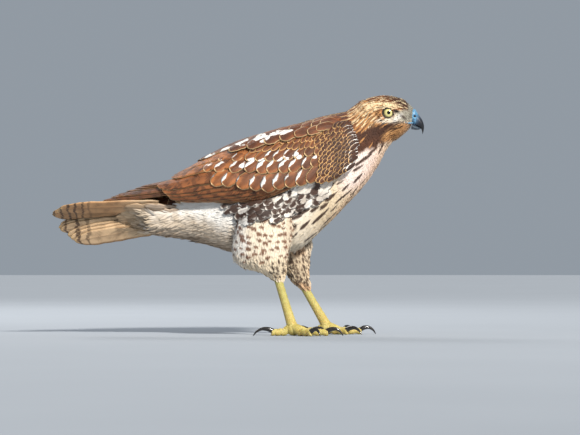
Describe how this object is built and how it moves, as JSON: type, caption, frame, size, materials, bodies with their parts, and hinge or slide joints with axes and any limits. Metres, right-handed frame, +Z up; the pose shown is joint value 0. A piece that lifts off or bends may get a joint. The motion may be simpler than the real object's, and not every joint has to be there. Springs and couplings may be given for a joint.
{
  "type": "red-tailed hawk model",
  "caption": "Life-size still model of a young red-tailed hawk standing alert on both feet, wings folded, tail held out behind",
  "frame": {"origin": "on the floor, under the middle of the whole bird's box", "axes": "+X towards the bill, +Y to the bird's left, +Z up"},
  "size_m": [0.5196, 0.1632, 0.3354],
  "materials": {
    "plumage": "soft cream breast and leg feathers with dark brown streaks and fine bars",
    "upper_plumage": "warm brown feathers with pale cream edges",
    "tail_feathers": "grey brown vanes with thin dark bars and pale tips",
    "leg_skin": "dry yellow green scales",
    "horn": "smooth dark horn with a soft gloss",
    "cere_skin": "bare blue green skin, satin",
    "eye": "wet gloss over a pale iris with a black pupil"
  },
  "bodies": {
    "root": {"bill_lower": "horn", "bill_upper": "horn", "cere": "cere_skin", "claw_left_hind": "horn", "claw_left_inner": "horn", "claw_left_middle": "horn", "claw_left_outer": "horn", "claw_right_hind": "horn", "claw_right_inner": "horn", "claw_right_middle": "horn", "claw_right_outer": "horn", "eye_left": "eye", "eye_right": "eye", "foot_left": "leg_skin", "foot_right": "leg_skin", "head": "upper_plumage", "neck": "plumage", "tail": "tail_feathers", "tarsus_left": "leg_skin", "tarsus_right": "leg_skin", "thigh_left": "plumage", "thigh_right": "plumage", "torso": "plumage", "wing_left": "upper_plumage", "wing_right": "upper_plumage"}
  },
  "joints": []
}
